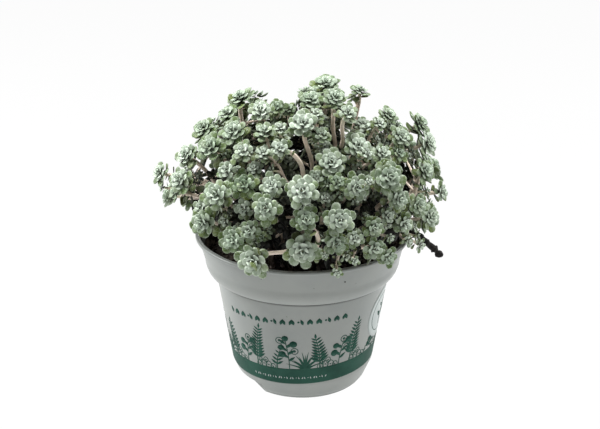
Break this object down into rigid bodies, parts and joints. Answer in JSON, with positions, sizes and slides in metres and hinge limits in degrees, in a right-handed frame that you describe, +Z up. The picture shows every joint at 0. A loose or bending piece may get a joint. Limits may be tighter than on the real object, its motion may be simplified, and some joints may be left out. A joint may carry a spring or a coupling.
{
  "type": "potted sedum",
  "caption": "Clump of small powdery grey-green rosettes on branching stems, rooted in the soil of a round, tapering plastic nursery pot.",
  "frame": {"origin": "centre of the pot's base, on the surface that it stands on", "axes": "+Z up; -Y is the printed front that the picture shows, +X to the right of it"},
  "size_m": [0.1648, 0.1563, 0.1778],
  "materials": {
    "pot": "satin",
    "soil": "matte",
    "leaves": "matte",
    "stems": "matte",
    "old_stem": "matte",
    "print": "satin",
    "badge": "satin"
  },
  "bodies": {
    "root": {"pot": "pot", "soil": "soil", "old_stem": "old_stem", "shoot_01": "leaves", "shoot_02": "leaves", "shoot_03": "leaves", "shoot_04": "leaves", "shoot_05": "leaves", "shoot_06": "leaves", "shoot_07": "leaves", "shoot_08": "leaves", "shoot_09": "leaves", "shoot_10": "leaves", "shoot_11": "leaves", "shoot_12": "leaves", "shoot_13": "leaves", "shoot_14": "leaves", "shoot_15": "leaves", "shoot_16": "leaves", "shoot_17": "leaves", "shoot_18": "leaves", "shoot_19": "leaves", "shoot_20": "leaves", "shoot_21": "leaves", "shoot_22": "leaves", "shoot_23": "leaves", "shoot_24": "leaves", "shoot_25": "leaves", "shoot_26": "leaves", "shoot_27": "leaves", "shoot_28": "leaves", "shoot_29": "leaves", "shoot_30": "leaves", "shoot_31": "leaves", "shoot_32": "leaves", "shoot_33": "leaves", "shoot_34": "leaves", "shoot_35": "leaves", "shoot_36": "leaves", "shoot_37": "leaves", "shoot_38": "leaves", "shoot_39": "leaves", "shoot_40": "leaves", "shoot_41": "leaves", "shoot_42": "leaves", "shoot_43": "leaves", "shoot_44": "leaves", "shoot_45": "leaves", "shoot_46": "leaves", "shoot_47": "leaves", "shoot_48": "leaves"}
  },
  "joints": []
}
